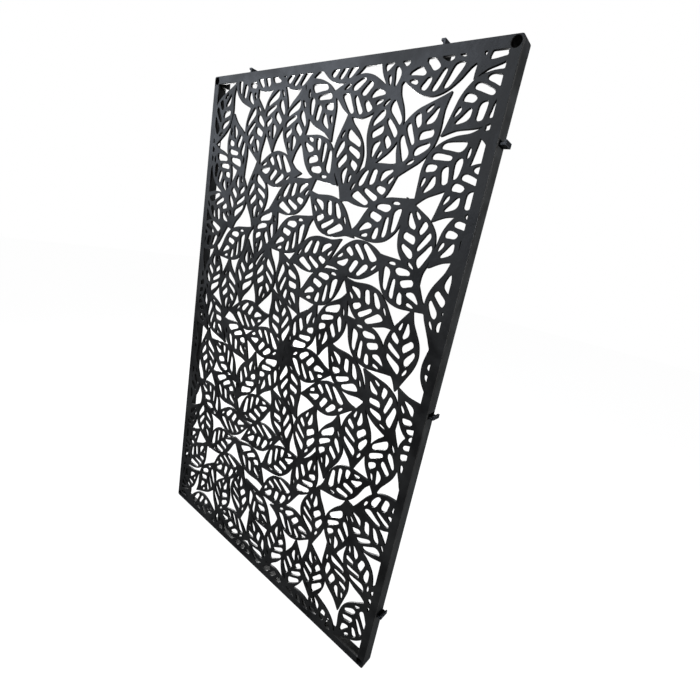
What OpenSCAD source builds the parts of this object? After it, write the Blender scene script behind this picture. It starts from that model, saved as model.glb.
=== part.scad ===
// Decorative garden panel: a leaf-pattern screen tile, moulded in black plastic.
// A front screen with four border strips lies on a rectangular frame of four edge rails
// and four corner sockets. Five push-in clips stand out of the right and top edges, and
// the left and bottom edges have the slots that a neighbouring panel's clips enter.
// X runs to the right, Y from the front to the back, Z up.
// The origin is the middle of the bottom edge, halfway through the depth.

/* [Panel] */
// Overall width, without the clips
panel_w = 630; // [560:5:700]
// Overall height, without the clips
panel_h = 1000; // [950:5:1060]
// Overall depth from the front face to the open back
panel_depth = 25.5; // [22:0.5:40]
// Radius of the rounded outer corners
corner_r = 4; // [2:0.5:6]

/* [Leaf screen] */
// Thickness of the front screen
sheet_t = 4; // [3:0.5:6]
// Width of the plain border round the leaf pattern
border_w = 15; // [13:0.5:22]
// Scale of one leaf, with its cells
leaf_scale = 1; // [0.96:0.01:1.04]

/* [Edge rails] */
// Thickness of the outer walls
wall_t = 3; // [2:0.25:4]
// Width of the seat that the screen lies on, measured over the wall
seat_w = 12; // [8:0.5:13]
// Thickness of that seat
seat_t = 2.5; // [2:0.25:4]

/* [Corner sockets] */
// Side of the square corner sockets
socket_side = 17; // [16:0.5:20]
// Diameter of the corner bores, which take the posts or pins
bore_d = 13.5; // [10:0.25:14]
// Distance of each bore's centre from both outer faces
bore_inset = 8.5; // [8.5:0.25:9]

/* [Clips] */
// How far a clip stands out of its edge
clip_reach = 9.5; // [8:0.5:12]
// Width of a clip, along the depth of the panel
clip_w = 19.5; // [12:0.5:19.5]
// Thickness of a clip's plate and of its lip
clip_t = 3.2; // [2.5:0.1:4]
// Height of a clip over its lip
clip_h = 6.6; // [6:0.1:8]
// Length of the foot that stays in the pocket
foot_len = 8; // [6:0.5:8.5]
// How far the foot lies behind the outer face
foot_recess = 4; // [3.5:0.5:4.5]
// Running gap between a clip and its pocket
clip_gap = 0.3; // [0.2:0.05:0.4]
// Thickness of the pocket's floor, roof and end
pocket_t = 2; // [1.5:0.25:2.25]
// Distance from the middle clip on the right edge to the other two
side_pitch = 380; // [200:5:400]
// Distance of the two top clips from the middle of the edge
top_pitch = 205; // [100:5:230]

/* [Hidden] */
$fn = 48;

front_y = -panel_depth / 2;
rail_y = front_y + sheet_t;
rail_depth = panel_depth - sheet_t;
half_w = panel_w / 2;
middle_z = panel_h / 2;
window_w = clip_w + 2 * clip_gap;
window_h = clip_h + 2 * clip_gap;
// Where a clip's plate and its window begin, along the edge from the clip's centre line
plate_start = -clip_t / 2;
window_start = plate_start - clip_gap;
// How far a pocket's clear space goes in from the outer face
pocket_len = foot_recess + foot_len + clip_gap;
// Places of the clips and slots along the side edges and the top and bottom edges
side_places = [-side_pitch, 0, side_pitch];
top_places = [-top_pitch, top_pitch];

// How far a cut runs past the face that it opens
overrun = 1;

// The screen's pattern is drawn on a panel of this size, and spreads with the real one
pattern_w = 630;
pattern_h = 1000;
spread = [panel_w / pattern_w, panel_h / pattern_h];
// The point of that drawing that the pattern spreads from, and that one half turns about
pattern_middle = [315, 500];

// Outline of one leaf, along its axis from the base at 0 to the tip at 92, with the wide
// side positive; both ends run on as short tails that join the neighbouring leaves
leaf_edge = [[-22, 8], [-4, 14], [10, 24.5], [25, 32.5], [45, 36], [62, 32], [78, 22], [110, -10],
    [90, -13], [70, -21.5], [50, -27], [34, -26.5], [18, -20], [0, -8]];

// The eight cells of one leaf: four on the wide side, then four on the narrow side
leaf_cells = [
    [[5.7, 8], [12.9, 3.2], [20.2, 4.8], [36.3, 27], [31, 31.3], [24.8, 28.2]],
    [[29.7, 5.8], [36.1, 4.7], [53.3, 25], [50.2, 29.3], [42.8, 27.2]],
    [[52.7, 10.9], [60, 8.7], [70.8, 19], [63, 24.8], [56.7, 20.2]],
    [[73.7, 12.1], [79, 12.8], [87.9, 5.4], [76.9, 6.7]],
    [[4.2, -0.8], [9.1, -1.2], [16.8, -9.6], [12, -9.8]],
    [[20.7, -3.9], [28, -1.2], [34.2, -4.8], [44.8, -18.5], [39, -21.8], [22.8, -10.7]],
    [[40.7, 1.1], [50.1, 3.3], [60.8, -13], [55, -17.8], [49.8, -15.2]],
    [[61.7, 3.6], [68, 4.3], [88.4, -3.5], [79, -7.8], [67.9, -7.2]]];

// Leaves of one half of the pattern, in mm from its lower left corner: base x, base z,
// tip x, tip z, and the side that is the wide one, 1 to the left of base to tip. The
// other half is the same, turned half a turn about the middle.
leaves = [
    [644, 948, 556, 902, -1], [566, 983, 474, 963, 1], [455, 941, 441, 853, 1],
    [500, 846, 535, 929, 1], [599, 878, 534, 813, -1], [652, 840, 573, 793, -1],
    [657, 785, 583, 731, -1], [554, 700, 529, 793, -1], [511, 797, 437, 743, 1],
    [403, 804, 489, 839, -1], [376, 903, 395, 810, 1], [355, 955, 447, 941, -1],
    [281, 964, 343, 899, 1], [355, 822, 289, 883, -1], [413, 751, 330, 785, 1],
    [308, 686, 393, 715, -1], [490, 702, 400, 695, -1], [502, 712, 573, 652, -1],
    [603, 622, 617, 715, -1], [572, 540, 559, 633, 1], [524, 626, 442, 656, 1],
    [413, 672, 340, 621, 1], [438, 624, 398, 544, -1], [465, 602, 537, 543, -1],
    [321, 519, 376, 599, -1], [333, 505, 423, 495, -1], [330, 486, 359, 399, -1],
    [350, 328, 310, 405, -1], [481, 452, 389, 449, -1], [507, 496, 426, 541, 1],
    [569, 447, 519, 525, -1], [661, 462, 582, 509, 1], [523, 375, 511, 462, 1],
    [405, 326, 407, 416, 1], [473, 412, 458, 324, -1], [584, 436, 567, 349, -1],
    [650, 472, 613, 387, -1], [477, 288, 547, 347, 1], [554, 300, 639, 334, -1],
    [394, 246, 436, 326, -1], [466, 178, 451, 264, 1], [527, 269, 513, 182, -1],
    [617, 240, 535, 276, 1], [604, 147, 551, 220, 1], [505, 171, 554, 89, 1],
    [482, 57, 470, 146, -1], [600, 117, 570, 30, 1], [417, 33, 432, 120, -1],
    [359, 52, 376, 140, -1], [364, 178, 453, 168, -1], [397, 227, 312, 191, -1],
    [313, 248, 385, 307, 1], [638, 523, 620, 612, -1], [648, 97, 628, 187, 1],
    [392, 1004, 308, 996, 1], [469, 1040, 452, 950, -1], [500, 2, 425, 18, 1],
    [338, 2, 428, 4, 1], [554, -7, 489, 57, 1],
    [584, 976, 639, 1050, -1], [623, 890, 709, 859, -1]];

leaf_len = 92;

// One leaf placed from its base and tip, with its middle kept and its length the shared one
module placed_leaf(leaf) {
    span = [leaf[2] - leaf[0], leaf[3] - leaf[1]];
    middle = [leaf[0] + leaf[2], leaf[1] + leaf[3]] / 2 - pattern_middle;
    translate([middle[0] * spread[0], middle[1] * spread[1]])
        rotate(atan2(span[1], span[0]))
            scale(leaf_scale * max(spread))
                translate([-leaf_len / 2, 0])
                    mirror([0, leaf[4] > 0 ? 0 : 1])
                        children();
}

// The same thing for every leaf of both halves
module each_leaf() {
    for (turn = [0, 180], leaf = leaves)
        rotate(turn)
            placed_leaf(leaf)
                children();
}

// A rectangle centred on the panel with rounded corners, in the plane of the screen
module rounded_rectangle(w, h, r) {
    square([w - 2 * r, h], center = true);
    square([w, h - 2 * r], center = true);
    for (x = [-1, 1], y = [-1, 1])
        translate([x * (w / 2 - r), y * (h / 2 - r)])
            circle(r);
}

// Extrudes a drawing of the front, centred on the panel, from y0 towards the back
module front_extrude(y0, t) {
    translate([0, y0 + t, middle_z])
        rotate([90, 0, 0])
            linear_extrude(t)
                children();
}

// The part of the screen inside the plain border
module window() {
    square([panel_w - 2 * border_w, panel_h - 2 * border_w], center = true);
}

// What is open between the leaves
module gaps() {
    difference() {
        window();
        each_leaf() polygon(leaf_edge);
    }
}

// What is open between the ribs of the leaves
module cells() {
    intersection() {
        window();
        each_leaf() for (cell = leaf_cells) polygon(cell);
    }
}

module leaf_screen() color("#26282b")
    front_extrude(front_y, sheet_t)
        difference() {
            rounded_rectangle(panel_w, panel_h, corner_r);
            gaps();
            cells();
            for (x = [-1, 1], y = [-1, 1])
                translate([x * (half_w - bore_inset), y * (middle_z - bore_inset)])
                    circle(d = bore_d);
        }

// Turns a drawing onto an edge: 0 bottom, 1 right, 2 top, 3 left. In the drawing the edge
// runs along the first axis from its middle, and the second goes in from the outer face.
module on_edge(side) {
    inward = side % 2 == 0 ? middle_z : half_w;
    rotate(90 * side)
        translate([0, -inward])
            children();
}

// A rectangle of a drawing, from its lower left corner
module block(u, v, w, h) {
    translate([u, v])
        square([w, h]);
}

// One edge rail: the outer wall, and the seat that the screen lies on
module plain_rail(side) {
    length = (side % 2 == 0 ? panel_w : panel_h) - 2 * socket_side;
    front_extrude(rail_y, rail_depth)
        on_edge(side)
            block(-length / 2, 0, length, wall_t);
    front_extrude(rail_y, seat_t)
        on_edge(side)
            block(-length / 2, 0, length, seat_w);
}

// A rail with a slot at each place, and room behind it for a neighbour's lip
module slotted_rail(side, places) {
    difference() {
        plain_rail(side);
        for (at = places) {
            front_extrude(rail_y - overrun, window_w + overrun)
                on_edge(side)
                    block(at + window_start, -overrun, window_h, wall_t + 2 * overrun);
            front_extrude(rail_y - overrun, seat_t + 2 * overrun)
                on_edge(side)
                    block(at + window_start - window_h, wall_t, 2 * window_h, seat_w);
        }
    }
}

// A rail with a pocket at each place, closed in front by the screen
module pocket_rail(side, places) {
    difference() {
        union() {
            plain_rail(side);
            for (at = places)
                front_extrude(rail_y, rail_depth)
                    on_edge(side)
                        block(at + window_start - pocket_t, 0, window_h + 2 * pocket_t, pocket_len + pocket_t);
        }
        for (at = places)
            front_extrude(rail_y - overrun, window_w + overrun)
                on_edge(side)
                    block(at + window_start, -overrun, window_h, pocket_len + overrun);
    }
}

// A corner socket: a square post behind the screen with a bore from front to back
module socket(x, y) {
    front_extrude(rail_y, rail_depth)
        difference() {
            intersection() {
                rounded_rectangle(panel_w, panel_h, corner_r);
                translate([x * half_w, y * middle_z])
                    square(2 * socket_side, center = true);
            }
            translate([x * (half_w - bore_inset), y * (middle_z - bore_inset)])
                circle(d = bore_d);
        }
}

// A clip: its foot in the pocket, the plate through the window, and the lip at the end
module clip(side, at) {
    front_extrude(rail_y + clip_gap, clip_w)
        on_edge(side) {
            block(at + plate_start, foot_recess, clip_h, foot_len);
            block(at + plate_start, -clip_reach, clip_t, clip_reach + foot_recess);
            block(at + plate_start, -clip_reach, clip_h, clip_t);
        }
}

module left_rail() color("#2b2d30") slotted_rail(3, side_places);

module right_rail() color("#2b2d30") pocket_rail(1, side_places);

module top_rail() color("#2b2d30") pocket_rail(2, top_places);

module bottom_rail() color("#2b2d30") slotted_rail(0, top_places);

module socket_top_left() color("#242629") socket(-1, 1);

module socket_top_right() color("#242629") socket(1, 1);

module socket_bottom_left() color("#242629") socket(-1, -1);

module socket_bottom_right() color("#242629") socket(1, -1);

module clip_right_upper() color("#1f2124") clip(1, side_pitch);

module clip_right_middle() color("#1f2124") clip(1, 0);

module clip_right_lower() color("#1f2124") clip(1, -side_pitch);

module clip_top_left() color("#1f2124") clip(2, top_pitch);

module clip_top_right() color("#1f2124") clip(2, -top_pitch);

leaf_screen();
left_rail();
right_rail();
top_rail();
bottom_rail();
socket_top_left();
socket_top_right();
socket_bottom_left();
socket_bottom_right();
clip_right_upper();
clip_right_middle();
clip_right_lower();
clip_top_left();
clip_top_right();
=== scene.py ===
import math

import bmesh
import bpy
import numpy as np
from mathutils import Matrix, Vector, geometry


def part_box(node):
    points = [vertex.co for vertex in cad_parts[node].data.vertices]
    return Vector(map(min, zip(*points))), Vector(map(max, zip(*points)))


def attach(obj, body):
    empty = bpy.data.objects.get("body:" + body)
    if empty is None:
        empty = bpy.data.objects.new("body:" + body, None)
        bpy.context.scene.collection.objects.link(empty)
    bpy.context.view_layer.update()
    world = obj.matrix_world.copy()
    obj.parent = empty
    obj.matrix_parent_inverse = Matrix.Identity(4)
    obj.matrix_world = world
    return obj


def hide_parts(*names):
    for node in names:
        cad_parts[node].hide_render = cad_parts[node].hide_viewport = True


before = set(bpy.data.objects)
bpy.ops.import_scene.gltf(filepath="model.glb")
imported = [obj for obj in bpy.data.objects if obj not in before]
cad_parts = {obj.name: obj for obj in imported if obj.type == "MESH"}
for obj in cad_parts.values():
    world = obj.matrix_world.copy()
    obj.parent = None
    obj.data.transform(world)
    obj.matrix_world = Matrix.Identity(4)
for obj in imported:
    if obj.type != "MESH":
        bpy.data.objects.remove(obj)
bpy.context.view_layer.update()        # bodies, nodes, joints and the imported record

# Leaf screen
# One flat sheet of black polypropylene, injection moulded as a net of leaves in a plain border.
# The mould leaves every rim rounded and every face finely textured. The sheet lies on the seats
# of the edge rails, flush with their outer walls.
MM = 0.001
screen_low, screen_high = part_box("leaf_screen")
screen_width = screen_high.x - screen_low.x
screen_height = screen_high.z - screen_low.z
border_width = 15 * MM
outer_corner_radius = 4 * MM
bore_radius = 6.75 * MM
bore_inset = 8.5 * MM                # from a bore's centre to both edges of the screen
rim_radius = 0.8 * MM
corner_relief = 1.3 * MM             # from a sharp corner of a gap to where its small curve starts
smallest_hole = 5 * MM * MM          # a gap with a smaller area is left closed
shortest_edge = 0.5 * MM             # points of a rim that lie closer than this are made one
straight_turn = math.radians(2.5)    # a rim's point that turns it less than this is left out
sharp_turn = math.radians(40)        # one that turns it more is a sharp corner

# The leaf and the pattern are in mm. The outline of one leaf runs along its axis from the base at
# 0 to the tip at 92, with the wide side positive. Both ends run on as short tails that join the
# neighbouring leaves.
leaf_length = 92
curve_steps = 2        # points that a smooth curve gets for each one listed here
cell_growth = 0.25     # how far a cell's edge runs outside the points listed for it
leaf_outline = [
    (-22, 8.5), (-12, 11.5), (-4, 14.5), (0, 17), (10, 24.5), (20, 30), (30, 34), (42, 36), (52, 35.5),
    (62, 32), (72, 26.5), (82, 18), (92, 8), (102, -2), (109.5, -9),
    (109.5, -10.2), (100, -11.5), (88, -13.5), (78, -17.5), (68, -22), (58, -25.5),
    (48, -27), (38, -27), (28, -24.5), (18, -20), (8, -14), (-2, -7), (-10, -1), (-22, 7)]

# The eight cells between a leaf's ribs: four on its wide side, then four on its narrow side
leaf_cells = [
    [(6, 7), (12, 4), (18, 4.5), (22, 8), (29, 18), (35, 26), (35, 29), (31, 30), (26, 28),
     (15, 18), (7, 10)],
    [(31, 6), (34, 5), (39, 9), (47, 18), (53, 25), (52, 28), (48, 29), (44, 27), (36, 17), (31, 9)],
    [(53, 12), (55, 10), (59, 9.5), (64, 13), (70, 18), (69, 21), (64, 24), (61, 23), (56, 18)],
    [(74.5, 11), (76, 12.5), (79, 12), (87, 6), (86, 5), (80, 6), (76, 8)],
    [(5, -1), (8, -1.5), (15, -7), (16, -9), (13, -9.5), (8, -6)],
    [(21, -6), (22, -3), (27, -2), (32, -4), (40, -13), (44, -18), (42, -20.5), (37, -20),
     (29, -15), (23, -10)],
    [(41, 0), (43, 2), (48, 3), (52, 1), (57, -7), (60, -12), (58, -16), (53, -17), (50, -14),
     (44, -6)],
    [(62, 2), (64, 4), (68, 3.5), (78, 0), (87, -3), (86, -5), (80, -7), (72, -8), (67, -6), (64, -2)]]

# Leaves of one half of the pattern, from its lower left corner: base x, base z, tip x, tip z, and
# the side that is the wide one. The other half is the same, turned half a turn about the middle.
pattern_middle = (315, 500)
leaf_places = [
    (644, 948, 556, 902, -1), (566, 983, 474, 963, 1), (455, 941, 441, 853, 1),
    (500, 846, 535, 929, 1), (599, 878, 534, 813, -1), (652, 840, 573, 793, -1),
    (657, 785, 583, 731, -1), (554, 700, 529, 793, -1), (511, 797, 437, 743, 1),
    (403, 804, 489, 839, -1), (376, 903, 395, 810, 1), (355, 955, 447, 941, -1),
    (281, 964, 343, 899, 1), (355, 822, 289, 883, -1), (413, 751, 330, 785, 1),
    (308, 686, 393, 715, -1), (490, 702, 400, 695, -1), (502, 712, 573, 652, -1),
    (603, 622, 617, 715, -1), (572, 540, 559, 633, 1), (524, 626, 442, 656, 1),
    (413, 672, 340, 621, 1), (438, 624, 398, 544, -1), (465, 602, 537, 543, -1),
    (321, 519, 376, 599, -1), (333, 505, 423, 495, -1), (330, 486, 359, 399, -1),
    (350, 328, 310, 405, -1), (481, 452, 389, 449, -1), (507, 496, 426, 541, 1),
    (569, 447, 519, 525, -1), (661, 462, 582, 509, 1), (523, 375, 511, 462, 1),
    (405, 326, 407, 416, 1), (473, 412, 458, 324, -1), (584, 436, 567, 349, -1),
    (650, 472, 613, 387, -1), (477, 288, 547, 347, 1), (554, 300, 639, 334, -1),
    (394, 246, 436, 326, -1), (466, 178, 451, 264, 1), (527, 269, 513, 182, -1),
    (617, 240, 535, 276, 1), (604, 147, 551, 220, 1), (505, 171, 554, 89, 1),
    (482, 57, 470, 146, -1), (600, 117, 570, 30, 1), (417, 33, 432, 120, -1),
    (359, 52, 376, 140, -1), (364, 178, 453, 168, -1), (397, 227, 312, 191, -1),
    (313, 248, 385, 307, 1), (638, 523, 620, 612, -1), (648, 97, 628, 187, 1),
    (392, 1004, 308, 996, 1), (469, 1040, 452, 950, -1), (500, 2, 425, 18, 1),
    (338, 2, 428, 4, 1), (554, -7, 489, 57, 1), (584, 976, 639, 1050, -1),
    (623, 890, 709, 859, -1)]


def linear_colour(hex_code):
    """The linear RGBA of an sRGB hex colour."""
    channels = [int(hex_code[i:i + 2], 16) / 255 for i in (1, 3, 5)]
    return [c / 12.92 if c <= 0.04045 else ((c + 0.055) / 1.055) ** 2.4 for c in channels] + [1]


def add_node(tree, kind, values=None, links=None, **settings):
    """Adds a node to a tree, with its socket values, its incoming links and its settings."""
    node = tree.nodes.new(kind)
    for name, value in settings.items():
        setattr(node, name, value)
    for socket, value in (values or {}).items():
        node.inputs[socket].default_value = value
    for socket, source in (links or {}).items():
        tree.links.new(source, node.inputs[socket])
    return node


def smooth_loop(points, steps):
    """A closed centripetal Catmull-Rom curve through the points, with steps points a segment."""
    count = len(points)
    out = []
    for i in range(count):
        a, b, c, d = (Vector(points[(i + k - 1) % count]) for k in range(4))
        t0 = 0
        t1 = t0 + math.sqrt((b - a).length)
        t2 = t1 + math.sqrt((c - b).length)
        t3 = t2 + math.sqrt((d - c).length)
        for k in range(steps):
            t = t1 + (t2 - t1) * k / steps
            ab = a * ((t1 - t) / (t1 - t0)) + b * ((t - t0) / (t1 - t0))
            bc = b * ((t2 - t) / (t2 - t1)) + c * ((t - t1) / (t2 - t1))
            cd = c * ((t3 - t) / (t3 - t2)) + d * ((t - t2) / (t3 - t2))
            abc = ab * ((t2 - t) / (t2 - t0)) + bc * ((t - t0) / (t2 - t0))
            bcd = bc * ((t3 - t) / (t3 - t1)) + cd * ((t - t1) / (t3 - t1))
            out.append(abc * ((t2 - t) / (t2 - t1)) + bcd * ((t - t1) / (t2 - t1)))
    return out


def loop_mesh(name, loops):
    """A mesh of closed edge loops and no faces."""
    mesh = bpy.data.meshes.new(name)
    points, edges = [], []
    for loop in loops:
        first = len(points)
        points += [(p.x, p.y, 0) for p in loop]
        edges += [(first + i, first + (i + 1) % len(loop)) for i in range(len(loop))]
    mesh.from_pydata(points, edges, [])
    return mesh


def leaf_placer():
    """A node tree that puts the leaf given to it on every point, turned and mirrored as the
    point's attributes say, at the leaf scale given to it."""
    tree = bpy.data.node_groups.new("leaf_placer", "GeometryNodeTree")
    tree.interface.new_socket("Places", in_out="INPUT", socket_type="NodeSocketGeometry")
    tree.interface.new_socket("Leaf", in_out="INPUT", socket_type="NodeSocketObject")
    tree.interface.new_socket("Leaf scale", in_out="INPUT", socket_type="NodeSocketFloat")
    tree.interface.new_socket("Material", in_out="INPUT", socket_type="NodeSocketMaterial")
    tree.interface.new_socket("Placed", in_out="OUTPUT", socket_type="NodeSocketGeometry")
    given = add_node(tree, "NodeGroupInput")
    leaf = add_node(tree, "GeometryNodeObjectInfo", links={"Object": given.outputs["Leaf"]})
    turn = add_node(tree, "GeometryNodeInputNamedAttribute", {"Name": "turn"}, data_type="FLOAT")
    side = add_node(tree, "GeometryNodeInputNamedAttribute", {"Name": "side"}, data_type="FLOAT")
    rotation = add_node(tree, "ShaderNodeCombineXYZ", links={"Z": turn.outputs["Attribute"]})
    mirror = add_node(tree, "ShaderNodeCombineXYZ", {"X": 1, "Z": 1}, {"Y": side.outputs["Attribute"]})
    scale = add_node(tree, "ShaderNodeVectorMath", operation="SCALE", links={
        0: mirror.outputs["Vector"], "Scale": given.outputs["Leaf scale"]})
    placed = add_node(tree, "GeometryNodeInstanceOnPoints", links={
        "Points": given.outputs["Places"], "Instance": leaf.outputs["Geometry"],
        "Rotation": rotation.outputs["Vector"], "Scale": scale.outputs["Vector"]})
    real = add_node(tree, "GeometryNodeRealizeInstances", links={
        "Geometry": placed.outputs["Instances"]})
    finish = add_node(tree, "GeometryNodeSetMaterial", links={
        "Geometry": real.outputs["Geometry"], "Material": given.outputs["Material"]})
    add_node(tree, "NodeGroupOutput", links={"Placed": finish.outputs["Geometry"]})
    return tree


def set_input(modifier, name, value):
    """Sets a Geometry Nodes modifier's input by its socket's identifier."""
    for item in modifier.node_group.interface.items_tree:
        if item.item_type == "SOCKET" and item.in_out == "INPUT" and item.name == name:
            modifier[item.identifier] = value


def plain_mesh(piece, name):
    """The evaluated mesh of a piece as a mesh of its own, with the piece itself removed."""
    evaluated = piece.evaluated_get(bpy.context.evaluated_depsgraph_get())
    mesh = bpy.data.meshes.new_from_object(evaluated)
    mesh.name = name
    bpy.data.objects.remove(piece)
    return mesh


def signed_area(loop):
    """The area inside a closed loop, negative if it runs clockwise."""
    return sum(a.cross(b) for a, b in zip(loop, loop[1:] + loop[:1])) / 2


def rim_normals(loop, longest_stretch=1.5):
    """The unit directions from the loop's points into the solid, and how much longer the step
    to an even inset is at each of them."""
    out = []
    for i, here in enumerate(loop):
        one = (here - loop[i - 1]).normalized()
        two = (loop[(i + 1) % len(loop)] - here).normalized()
        left_of_one = Vector((-one.y, one.x))
        middle = (left_of_one + Vector((-two.y, two.x))).normalized()
        out.append((middle, 1 / max(1 / longest_stretch, middle.dot(left_of_one))))
    return out


def grown(loop, distance):
    """The loop with every point moved outwards by a distance."""
    out = -distance if signed_area(loop) > 0 else distance
    return [point + out * into for point, (into, _) in zip(loop, rim_normals(loop))]


def placed_leaf_loops(material):
    """Every leaf of both halves as closed loops in metres, centred on the panel: the outlines,
    and the cells."""
    loops = [smooth_loop([(x - leaf_length / 2, y) for x, y in points], curve_steps)
             for points in [leaf_outline] + leaf_cells]
    loops[1:] = [grown(loop, cell_growth) for loop in loops[1:]]
    template = bpy.data.objects.new("leaf_template", loop_mesh("leaf_template", loops))
    places, turns, sides = [], [], []
    for half_turn in (0, math.pi):
        for base_x, base_z, tip_x, tip_z, side in leaf_places:
            middle = Vector(((base_x + tip_x) / 2, (base_z + tip_z) / 2)) - Vector(pattern_middle)
            middle.rotate(Matrix.Rotation(half_turn, 2))
            places.append((middle.x * MM, middle.y * MM, 0))
            turns.append(math.atan2(tip_z - base_z, tip_x - base_x) + half_turn)
            sides.append(side)
    mesh = bpy.data.meshes.new("leaf_places")
    mesh.from_pydata(places, [], [])
    for name, values in (("turn", turns), ("side", sides)):
        mesh.attributes.new(name, "FLOAT", "POINT").data.foreach_set("value", values)
    holder = bpy.data.objects.new("leaf_places", mesh)
    for piece in (template, holder):
        bpy.context.scene.collection.objects.link(piece)
    modifier = holder.modifiers.new("leaf_placer", "NODES")
    modifier.node_group = leaf_placer()
    set_input(modifier, "Leaf", template)
    set_input(modifier, "Leaf scale", MM)
    set_input(modifier, "Material", material)
    placed = plain_mesh(holder, "placed_leaves")
    points = [Vector(v.co.xy) for v in placed.vertices]
    bpy.data.objects.remove(template)
    outlines, cells = [], []
    at = 0
    while at < len(points):
        for k, loop in enumerate(loops):
            (outlines if k == 0 else cells).append(points[at:at + len(loop)])
            at += len(loop)
    return outlines, cells


def rectangle_loop(width, height, radius=0.0, steps=6):
    """A closed rectangle about the middle, anticlockwise, with round corners if it has a radius."""
    out = []
    for quarter, (across, up) in enumerate(((1, 1), (-1, 1), (-1, -1), (1, -1))):
        centre = Vector((across * (width / 2 - radius), up * (height / 2 - radius)))
        for k in range(steps + 1 if radius else 1):
            angle = math.pi / 2 * (quarter + k / steps)
            out.append(centre + radius * Vector((math.cos(angle), math.sin(angle))))
    return out


def circle_loop(centre, radius, steps=40):
    """A closed circle, anticlockwise."""
    return [centre + radius * Vector((math.cos(math.tau * k / steps), math.sin(math.tau * k / steps)))
            for k in range(steps)]


def inside(points, loop):
    """Which of the points, an array of x and y, lie inside a closed loop."""
    a = np.array([tuple(p) for p in loop])
    b = np.roll(a, -1, axis=0)
    near = np.where(np.all((points > a.min(0)) & (points < a.max(0)), axis=1))[0]
    x, y = points[near, 0:1], points[near, 1:2]
    crosses = (a[:, 1] > y) != (b[:, 1] > y)
    with np.errstate(divide="ignore", invalid="ignore"):
        at = a[:, 0] + (y - a[:, 1]) / (b[:, 1] - a[:, 1]) * (b[:, 0] - a[:, 0])
    hit = np.zeros(len(points), bool)
    hit[near] = np.sum(crosses & (x < at), axis=1) % 2 == 1
    return hit


def triangulated(loops):
    """Triangulates the plane with every loop as fixed edges: the points, the triangles, their
    centres, and for each point of the result the loop points that it stands for."""
    points, edges = [], []
    for loop in loops:
        first = len(points)
        points += loop
        edges += [(first + i, first + (i + 1) % len(loop)) for i in range(len(loop))]
    all_triangles, touching = 0, 1e-9
    verts, _, faces, origins, _, _ = geometry.delaunay_2d_cdt(
        points, edges, [], all_triangles, touching, True)
    faces = np.array([tuple(f) for f in faces])
    verts = np.array([tuple(v) for v in verts])
    return verts, faces, verts[faces].mean(axis=1), origins


def boundary_loops(verts, faces):
    """The closed loops round the given triangles, with the solid on their left."""
    directed = {(f[k], f[(k + 1) % 3]) for f in faces.tolist() for k in range(3)}
    leaving = {}
    for a, b in directed:
        if (b, a) not in directed:
            leaving.setdefault(a, []).append(b)
    loops = []
    while leaving:
        start = next(iter(leaving))
        loop, before, here = [], None, start
        while True:
            options = leaving[here]
            step = options[0]
            if len(options) > 1 and before is not None:
                back = verts[before] - verts[here]
                step = min(options, key=lambda o: (
                    math.atan2(back[1], back[0])
                    - math.atan2(*(verts[o] - verts[here])[::-1])) % math.tau)
            options.remove(step)
            if not options:
                del leaving[here]
            loop.append(here)
            before, here = here, step
            if here == start:
                break
        loops.append([Vector(verts[i]) for i in loop])
    return loops


def eased(loop):
    """The loop without points that lie close together or in line, and with its sharp corners
    cut by a small curve, as the mould's cutter leaves them."""
    kept = []
    for p in loop:
        if not kept or (p - kept[-1]).length > shortest_edge:
            kept.append(p)
    if (kept[0] - kept[-1]).length < shortest_edge:
        kept.pop()
    largest_share = 0.45     # of a side that a corner's curve takes up
    out = []
    for i, here in enumerate(kept):
        back, on = kept[i - 1] - here, kept[(i + 1) % len(kept)] - here
        turn = math.pi - back.angle(on)
        if turn >= sharp_turn:
            reach = min(corner_relief, largest_share * back.length, largest_share * on.length)
            start, end = here + back.normalized() * reach, here + on.normalized() * reach
            out += [start, (start + end + 2 * here) / 4, end]
        elif turn >= straight_turn:
            out.append(here)
    return out


def rib_widths(flat, into):
    """For each rim point, the distance to the nearest one that faces it across the solid, given
    the directions into the solid. Wide stretches all get three times the rim's radius."""
    reach = 3 * rim_radius
    facing, itself = 0.6, 1e-9     # how straight ahead a point has to lie, and the point itself
    cells = {}
    keys = np.floor(flat / reach).astype(int)
    for i, key in enumerate(map(tuple, keys)):
        cells.setdefault(key, []).append(i)
    widths = np.full(len(flat), reach)
    for (kx, ky), members in cells.items():
        near = [i for dx in (-1, 0, 1) for dy in (-1, 0, 1) for i in cells.get((kx + dx, ky + dy), ())]
        across = flat[near][None, :, :] - flat[members][:, None, :]
        distance = np.linalg.norm(across, axis=2)
        ahead = np.einsum("ijk,ik->ij", across, into[members])
        distance[ahead < facing * distance + itself] = reach
        widths[members] = np.minimum(widths[members], distance.min(axis=1))
    return widths


def screen_loops(material):
    """Every rim of the screen as a closed loop with the solid on its left, the outer edge first."""
    outlines, cells = placed_leaf_loops(material)
    window = rectangle_loop(screen_width - 2 * border_width, screen_height - 2 * border_width)
    edge = rectangle_loop(screen_width, screen_height, outer_corner_radius)
    bore_x, bore_z = screen_width / 2 - bore_inset, screen_height / 2 - bore_inset
    bores = [circle_loop(Vector((x, z)), bore_radius)
             for x in (bore_x, -bore_x) for z in (bore_z, -bore_z)]
    verts, faces, centres, _ = triangulated(outlines + cells + [window, edge] + bores)
    in_leaf, in_cell, in_bore = (
        np.any([inside(centres, loop) for loop in group], axis=0) for group in (outlines, cells, bores))
    solid = np.where(inside(centres, window), in_leaf & ~in_cell, inside(centres, edge) & ~in_bore)
    loops = [eased(loop) for loop in boundary_loops(verts, faces[solid])]
    outer = max(loops, key=signed_area)
    return [outer] + [loop for loop in loops if signed_area(loop) < -smallest_hole]


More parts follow.
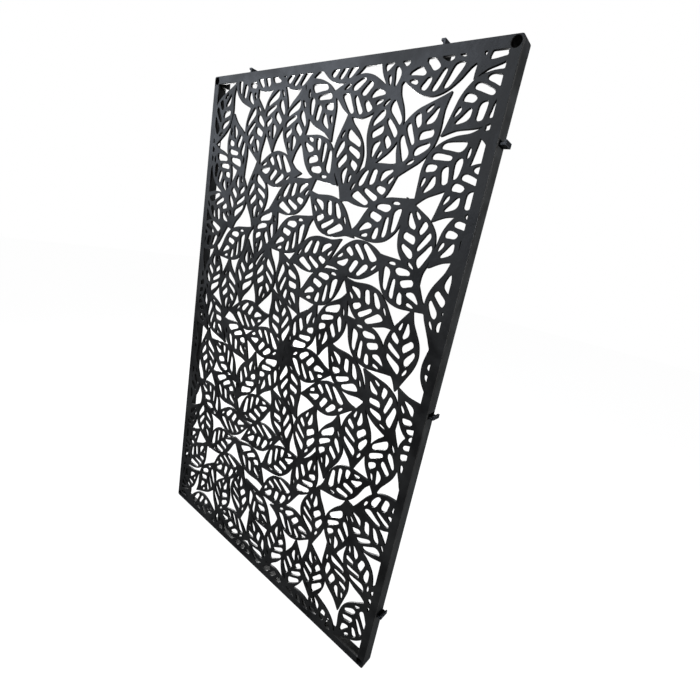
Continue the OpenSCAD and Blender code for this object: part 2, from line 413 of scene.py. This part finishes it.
def cap_triangles(points, starts):
    """The triangles over the solid, given all the rims' points and the index where each rim
    starts, and no clashes. If rims touch or cross, no triangles and the places where they do."""
    loops = [[Vector(p) for p in points[a:b]] for a, b in zip(starts, starts[1:])]
    verts, faces, centres, origins = triangulated(loops)
    clashes = [i for i, own in enumerate(origins) if len(own) != 1]
    if clashes:
        return None, verts[clashes]
    on_solid = np.sum([inside(centres, loop) for loop in loops], axis=0) == 1
    return np.array([own[0] for own in origins])[faces[on_solid]], []


def shade_screen(mesh, into, front_faces, back_faces):
    """Shades the front rims round and both faces flat, and marks how much paler the rims are
    painted, partly as wear and partly as a painted highlight. The triangles of the front face come
    first in the mesh, and those of the back face last."""
    total = len(into)
    outward = np.column_stack((-into[:, 0], np.zeros(total), -into[:, 1]))
    forward = np.tile((0.0, -1.0, 0.0), (total, 1))
    row_normals = np.concatenate([forward, (forward + outward) / math.sqrt(2), outward, outward])
    # How much paler each row of a rim is painted: wear, and a painted highlight on the round
    row_wear_and_highlight = np.repeat([0.2, 0.8, 0.1, 0.0], total)     # most on the round of the rim
    corner_row = np.empty(len(mesh.loops), int)
    mesh.loops.foreach_get("vertex_index", corner_row)
    corner_normals = row_normals[corner_row]
    wear_and_highlight = row_wear_and_highlight[corner_row]
    front_corners, back_corners = slice(3 * front_faces), slice(-3 * back_faces, None)
    for corners, normal in ((front_corners, (0, -1, 0)), (back_corners, (0, 1, 0))):
        corner_normals[corners] = normal
        wear_and_highlight[corners] = 0
    mesh.polygons.foreach_set("use_smooth", [True] * len(mesh.polygons))
    mesh.attributes.new("rim", "FLOAT", "CORNER").data.foreach_set("value", wear_and_highlight)
    mesh.normals_split_custom_set(corner_normals.tolist())


def screen_mesh(material):
    """The whole screen as one closed mesh: front and back faces, walls, and rounded front rims."""
    loops = screen_loops(material)
    normals = [rim_normals(loop) for loop in loops]
    flat = np.array([tuple(p) for loop in loops for p in loop])
    into = np.array([tuple(n) for group in normals for n, _ in group])
    stretch = np.array([k for group in normals for _, k in group])[:, None]
    starts = np.cumsum([0] + [len(loop) for loop in loops])

    # The round of a rim is at most this share of a thin rib, and is cut to the same share of itself
    # again near every place where two rims still meet.
    rim_share = 0.4
    most_tries = 6
    near = 4 * rim_radius
    step = np.minimum(rim_radius, rim_share * rib_widths(flat, into))
    for _ in range(most_tries):
        inset = flat + into * step[:, None] * stretch
        front, clashes = cap_triangles(inset, starts)
        for place in clashes:
            step[np.linalg.norm(flat - place, axis=1) < near] *= rim_share
        if front is not None:
            break
    back, _ = cap_triangles(flat, starts)

    # Four rows of points from the front face over the round of the rim to the back face
    total = len(flat)
    arc_drop = 1 - math.sqrt(0.5)     # of a quarter circle's middle, as a share of its radius
    rows = [
        (inset, np.zeros(total)),
        (flat + into * step[:, None] * stretch * arc_drop, step * arc_drop),
        (flat, step),
        (flat, np.full(total, screen_high.y - screen_low.y))]
    middle = (screen_low + screen_high) / 2
    coordinates = np.concatenate([
        np.column_stack((points[:, 0] + middle.x, screen_low.y + depth, points[:, 1] + middle.z))
        for points, depth in rows])
    here = np.arange(total)
    after = np.concatenate([np.roll(np.arange(a, b), -1) for a, b in zip(starts, starts[1:])])
    quads = np.concatenate([
        np.column_stack((here, here + total, after + total, after)) + row * total for row in range(3)])

    mesh = bpy.data.meshes.new("leaf_screen_moulded")
    mesh.from_pydata(coordinates.tolist(), [],
                     front.tolist() + quads.tolist() + (back[:, ::-1] + 3 * total).tolist())
    mesh.materials.append(material)
    shade_screen(mesh, into, len(front), len(back))
    return mesh


def moulded_plastic(name, colour, pale_colour, worn_and_highlight_colour, roughness, grain, mottle):
    """Injection-moulded plastic: a fine matt grain from the spark-eroded mould, paler flow marks
    and dust in soft patches, faces that sank a little as they cooled, and rims polished and painted
    paler: partly wear from handling, partly a painted highlight on the round of each rim. The grain
    and the mottle are sizes on the object."""
    speck = mottle / 9
    bow, bow_depth = 2.5 * mottle, 6 * MM
    sink_depth = 1.6 * MM
    grain_depth = 0.12 * MM
    polished, dusty = roughness - 0.08, roughness + 0.14
    material = bpy.data.materials.new(name)
    material.use_nodes = True
    tree = material.node_tree
    tree.nodes.clear()
    place = add_node(tree, "ShaderNodeTexCoord")
    patches = add_node(tree, "ShaderNodeTexNoise", {"Scale": 1 / mottle, "Detail": 4, "Roughness": 0.6},
                       {"Vector": place.outputs["Object"]})
    specks = add_node(tree, "ShaderNodeTexNoise", {"Scale": 1 / speck, "Detail": 4, "Roughness": 0.7},
                      {"Vector": place.outputs["Object"]})
    texture = add_node(tree, "ShaderNodeTexNoise", {"Scale": 1 / grain, "Detail": 2, "Roughness": 0.55},
                       {"Vector": place.outputs["Object"]})
    rim = add_node(tree, "ShaderNodeAttribute", attribute_name="rim")
    patch_amount = add_node(tree, "ShaderNodeMapRange", {"From Min": 0.4, "From Max": 0.64},
                            {"Value": patches.outputs["Fac"]})
    speck_amount = add_node(
        tree, "ShaderNodeMapRange", {"From Min": 0.56, "From Max": 0.78, "To Max": 0.7},
        {"Value": specks.outputs["Fac"]})
    paleness = add_node(tree, "ShaderNodeMath", operation="MAXIMUM", links={
        0: patch_amount.outputs["Result"], 1: speck_amount.outputs["Result"]})
    body_colour = add_node(
        tree, "ShaderNodeMixRGB", {"Color1": linear_colour(colour), "Color2": linear_colour(pale_colour)},
        {"Fac": paleness.outputs["Value"]})
    wear_and_highlight = add_node(tree, "ShaderNodeMapRange", {"From Min": 0.35, "From Max": 0.65, "To Min": 0.25},
                    {"Value": specks.outputs["Fac"]})
    worn_and_highlight_amount = add_node(tree, "ShaderNodeMath", operation="MULTIPLY", links={
        0: rim.outputs["Fac"], 1: wear_and_highlight.outputs["Result"]})
    # Rims painted paler with the worn colour: partly wear, partly a painted highlight on their round
    surface_colour = add_node(
        tree, "ShaderNodeMixRGB", {"Color2": linear_colour(worn_and_highlight_colour)},
        {"Fac": worn_and_highlight_amount.outputs["Value"], "Color1": body_colour.outputs["Color"]})
    surface_roughness = add_node(tree, "ShaderNodeMapRange", {"To Min": polished, "To Max": dusty},
                                 {"Value": paleness.outputs["Value"]})
    warp = add_node(tree, "ShaderNodeTexNoise", {"Scale": 1 / bow, "Detail": 1},
                    {"Vector": place.outputs["Object"]})
    bowed = add_node(tree, "ShaderNodeBump", {"Strength": 1, "Distance": bow_depth},
                     {"Height": warp.outputs["Fac"]})
    sunk = add_node(tree, "ShaderNodeBump", {"Strength": 1, "Distance": sink_depth},
                    {"Height": patches.outputs["Fac"], "Normal": bowed.outputs["Normal"]})
    grained = add_node(tree, "ShaderNodeBump", {"Strength": 0.3, "Distance": grain_depth},
                       {"Height": texture.outputs["Fac"], "Normal": sunk.outputs["Normal"]})
    shader = add_node(
        tree, "ShaderNodeBsdfPrincipled", {"IOR": 1.49, "Specular IOR Level": 0.13},
        {"Base Color": surface_colour.outputs["Color"], "Roughness": surface_roughness.outputs["Result"],
         "Normal": grained.outputs["Normal"]})
    add_node(tree, "ShaderNodeOutputMaterial", links={"Surface": shader.outputs["BSDF"]})
    return material


# A real spark-eroded grain is about 0.3 mm, and is drawn at 2 mm so that it shows from a step away
# Its worn colour paints the rims paler: partly wear, partly a painted highlight on their round
screen_plastic = moulded_plastic(
    "polypropylene_spark_textured", colour="#171615", pale_colour="#292826", worn_and_highlight_colour="#343331",
    roughness=0.46, grain=2 * MM, mottle=70 * MM)
leaf_screen = bpy.data.objects.new("leaf_screen_moulding", screen_mesh(screen_plastic))
bpy.context.scene.collection.objects.link(leaf_screen)
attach(leaf_screen, "panel")
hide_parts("leaf_screen")

# Edge rails
# Four L-shaped rails of the same black polypropylene behind the border, with a satin outer wall and
# a seat for the screen. The right and top ones have clip pockets, the left and bottom ones slots.
# They are butted to the corner sockets without a gap, so their rims are sharp there.
socket_side = 17 * MM
rail_rim = 0.5 * MM
sharp_edge = math.radians(30)     # faces that meet at more than this have an edge between them


def lies_on_joint(edge):
    """Whether an edge lies where a rail and a corner socket meet face to face."""
    near = rail_rim / 5
    across = screen_width / 2 - socket_side
    low, high = screen_low.z + socket_side, screen_high.z - socket_side
    at_side = all(abs(abs(v.co.x) - across) < near for v in edge.verts)
    at_end = any(all(abs(v.co.z - level) < near for v in edge.verts) for level in (low, high))
    return at_side or at_end


def rim_shading(faces, is_rim):
    """The normals that shade the rounded rims into the flat faces beside them, and the rims' wear
    and painted highlight for the material, corner by corner."""
    corner_normals, wear_and_highlight = [], []
    for face in faces:
        for vert in face.verts:
            near = [g for g in vert.link_faces if g[is_rim] == 0]
            if not face[is_rim]:
                near = [g for g in near if g.normal.angle(face.normal, 0) < sharp_edge]
            near = near or vert.link_faces
            total = sum((g.normal * g.calc_area() for g in near), Vector())
            corner_normals.append(total.normalized() if total.length else face.normal.copy())
            wear_and_highlight.append(face[is_rim])
    return corner_normals, wear_and_highlight


def rounded_copy(name, node, rim, material):
    """A copy of a CAD node's mesh, merged, with every sharp edge rounded but those on a joint."""
    same_place = rim / 500
    same_plane = math.radians(1)
    bm = bmesh.new()
    bm.from_mesh(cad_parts[node].data)
    bmesh.ops.remove_doubles(bm, verts=bm.verts, dist=same_place)
    bmesh.ops.dissolve_limit(bm, angle_limit=same_plane, verts=bm.verts, edges=bm.edges)
    is_rim = bm.faces.layers.int.new("is_rim")
    sharp = [e for e in bm.edges if len(e.link_faces) == 2
             and e.calc_face_angle() > sharp_edge and not lies_on_joint(e)]
    made = bmesh.ops.bevel(bm, geom=sharp, offset=rim, offset_type="OFFSET", segments=2, profile=0.5,
                           affect="EDGES", clamp_overlap=True)
    for face in made["faces"]:
        face[is_rim] = 1
    bm.normal_update()
    corner_normals, wear_and_highlight = rim_shading(bm.faces, is_rim)
    for face in bm.faces:
        face.smooth = True
    bm.faces.layers.int.remove(is_rim)
    mesh = bpy.data.meshes.new(name)
    bm.to_mesh(mesh)
    bm.free()
    mesh.materials.clear()
    mesh.materials.append(material)
    # The bevelled rims are marked to be painted paler: wear and a painted highlight
    mesh.attributes.new("rim", "FLOAT", "CORNER").data.foreach_set("value", wear_and_highlight)
    mesh.normals_split_custom_set([tuple(n) for n in corner_normals])
    piece = bpy.data.objects.new(name, mesh)
    bpy.context.scene.collection.objects.link(piece)
    return piece


# Its worn colour paints the rims paler: partly wear, partly a painted highlight on their round
rail_plastic = moulded_plastic(
    "polypropylene_satin", colour="#1c1c1b", pale_colour="#2a2a29", worn_and_highlight_colour="#262625",
    roughness=0.4, grain=2 * MM, mottle=45 * MM)
for rail in ("left_rail", "right_rail", "top_rail", "bottom_rail"):
    moulding = rounded_copy(rail + "_moulding", rail, rail_rim, rail_plastic)
    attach(moulding, "panel")
    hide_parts(rail)

# Corner sockets
# Four square posts with a bore from front to back for the posts or pins that join panels. They are
# of the same plastic as the rails, a little darker and glossier, as a polished core pin leaves it.
# Its worn colour paints the rims paler: partly wear, partly a painted highlight on their round
socket_plastic = moulded_plastic(
    "polypropylene_core_polished", colour="#191919", pale_colour="#262626", worn_and_highlight_colour="#464646",
    roughness=0.36, grain=2 * MM, mottle=30 * MM)
for socket in ("socket_top_left", "socket_top_right", "socket_bottom_left", "socket_bottom_right"):
    moulding = rounded_copy(socket + "_moulding", socket, rail_rim, socket_plastic)
    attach(moulding, "panel")
    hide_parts(socket)

# Clips
# Five push-in hooks of black acetal: a plate that comes out of its window, a lip at the outer end
# and a foot in the pocket. Acetal has a waxy gloss, and the rims are painted pale, partly as wear
# from rubbing and partly as a painted highlight on their round.
clip_rim = 0.45 * MM
clip_plastic = moulded_plastic(
    "acetal_waxy_gloss", colour="#101011", pale_colour="#1a1b1d", worn_and_highlight_colour="#4a4c4f",
    roughness=0.32, grain=1.5 * MM, mottle=18 * MM)
for clip in ("clip_right_upper", "clip_right_middle", "clip_right_lower",
             "clip_top_left", "clip_top_right"):
    hook = rounded_copy(clip + "_hook", clip, clip_rim, clip_plastic)
    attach(hook, clip)
    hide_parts(clip)

# Floor, lights and camera
# A white studio floor, a large soft box in front and to the left, higher than the panel, a low one
# behind it and to the left for its back, a small one to the right for the side wall, and the camera
# close in front of the right edge.
floor_size = 12
floor_colour = "#5a5a5a"     # with the white that the camera adds, it looks white and keeps its shadow
floor_white = 0.98           # how bright the camera sees the floor where no lamp reaches it
ambient = 0.07               # the white background's light on the object
mirror_share = 0.03          # how much of the white background the plastic's gloss picks up


def background_share(tree):
    """How much of the white background a ray sees: all through the lens and through clear
    things, and a share in reflections."""
    path = add_node(tree, "ShaderNodeLightPath")
    direct = add_node(tree, "ShaderNodeMath", operation="MAXIMUM", links={
        0: path.outputs["Is Camera Ray"], 1: path.outputs["Is Transmission Ray"]})
    share = add_node(tree, "ShaderNodeMath", {1: mirror_share}, operation="MULTIPLY_ADD", links={
        0: path.outputs["Is Glossy Ray"], 2: direct.outputs["Value"]})
    return share.outputs["Value"]


bm = bmesh.new()
bmesh.ops.create_grid(bm, x_segments=1, y_segments=1, size=floor_size / 2)
floor_mesh = bpy.data.meshes.new("floor")
bm.to_mesh(floor_mesh)
bm.free()
floor = bpy.data.objects.new("floor", floor_mesh)
bpy.context.scene.collection.objects.link(floor)
floor_paint = bpy.data.materials.new("floor_matt_white")
floor_paint.use_nodes = True
floor_tree = floor_paint.node_tree
floor_tree.nodes.clear()
floor_matt = add_node(floor_tree, "ShaderNodeBsdfDiffuse", {"Color": linear_colour(floor_colour)})
floor_seen = add_node(floor_tree, "ShaderNodeMath", {1: floor_white}, {0: background_share(floor_tree)},
                      operation="MULTIPLY")
floor_glow = add_node(floor_tree, "ShaderNodeEmission", links={"Strength": floor_seen.outputs["Value"]})
floor_sum = add_node(floor_tree, "ShaderNodeAddShader", links={
    0: floor_matt.outputs["BSDF"], 1: floor_glow.outputs["Emission"]})
add_node(floor_tree, "ShaderNodeOutputMaterial", links={"Surface": floor_sum.outputs["Shader"]})
floor_mesh.materials.append(floor_paint)

world = bpy.data.worlds.new("studio")
world.use_nodes = True
world_tree = world.node_tree
world_tree.nodes.clear()
world_seen = add_node(world_tree, "ShaderNodeMapRange", {"To Min": ambient, "To Max": 1},
                      {"Value": background_share(world_tree)})
world_light = add_node(world_tree, "ShaderNodeBackground", {"Color": (1, 1, 1, 1)},
                       {"Strength": world_seen.outputs["Result"]})
add_node(world_tree, "ShaderNodeOutputWorld", links={"Surface": world_light.outputs["Background"]})
bpy.context.scene.world = world

soft_boxes = [
    # name, place, aim, size, watts, spread in degrees, colour
    ("soft_box_front", (-1.15, -1.4, 1.6), (0, 0, 0.8), 1.7, 33, 110, "#e8f1ff"),
    ("soft_box_back", (-1.7, 1.5, 0.45), (0, 0, 0.5), 0.8, 45, 120, "#ffffff"),
    ("soft_box_right", (2.2, 0.02, 1.1), (0.315, 0, 0.6), 0.5, 17, 90, "#f2f7ff")]
for name, place, aim, size, watts, spread, colour in soft_boxes:
    lamp = bpy.data.lights.new(name, "AREA")
    lamp.shape = "SQUARE"
    lamp.size = size
    lamp.energy = watts
    lamp.color = linear_colour(colour)[:3]
    lamp.spread = math.radians(spread)
    box = bpy.data.objects.new(name, lamp)
    box.location = place
    box.rotation_euler = (Vector(aim) - Vector(place)).to_track_quat("-Z", "Y").to_euler()
    bpy.context.scene.collection.objects.link(box)

camera_place = Vector((0.5342, -0.5419, 0.7266))
camera_aim = Vector((0.1442, 0, 0.5516))
camera_roll = math.radians(11.05)
camera_data = bpy.data.cameras.new("camera")
camera_data.sensor_width = 36
camera_data.lens = 20.616
camera_data.clip_start = 0.02
camera = bpy.data.objects.new("camera", camera_data)
camera_turn = (camera_aim - camera_place).to_track_quat("-Z", "Y").to_matrix().to_4x4()
camera.matrix_world = (
    Matrix.Translation(camera_place) @ camera_turn @ Matrix.Rotation(camera_roll, 4, "Z"))
bpy.context.scene.collection.objects.link(camera)
bpy.context.scene.camera = camera
bpy.context.scene.view_settings.view_transform = "Standard"
